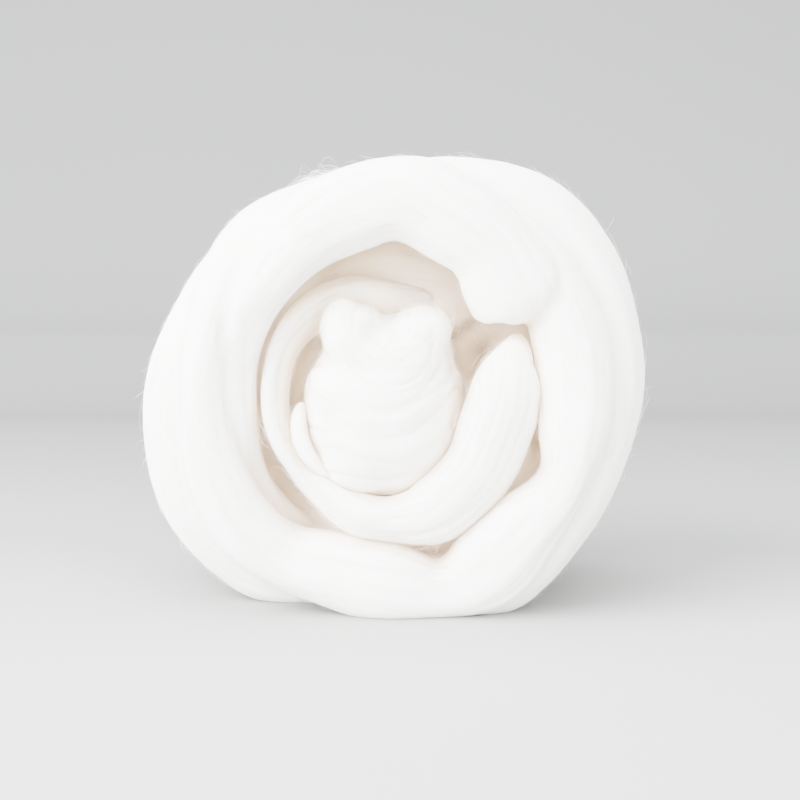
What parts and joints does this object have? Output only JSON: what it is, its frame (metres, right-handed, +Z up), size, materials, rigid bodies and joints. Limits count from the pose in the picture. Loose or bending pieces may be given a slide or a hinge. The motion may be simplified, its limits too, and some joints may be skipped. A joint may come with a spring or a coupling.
{
  "type": "ball of wool roving",
  "caption": "Soft ball of combed wool roving wound from one thick strand, with the folded inner end showing in a hollow at the front.",
  "frame": {"origin": "middle of the ball's base, on the surface that it lies on", "axes": "+Z up; the wound end with the folded inner end faces -Y; +X is to the right of someone who looks at that end, and the ball is widest along it"},
  "size_m": [0.1572, 0.1066, 0.1392],
  "materials": {
    "wool": "matte, soft combed fibre"
  },
  "bodies": {
    "root": {"roving_ball": "wool"}
  },
  "joints": []
}
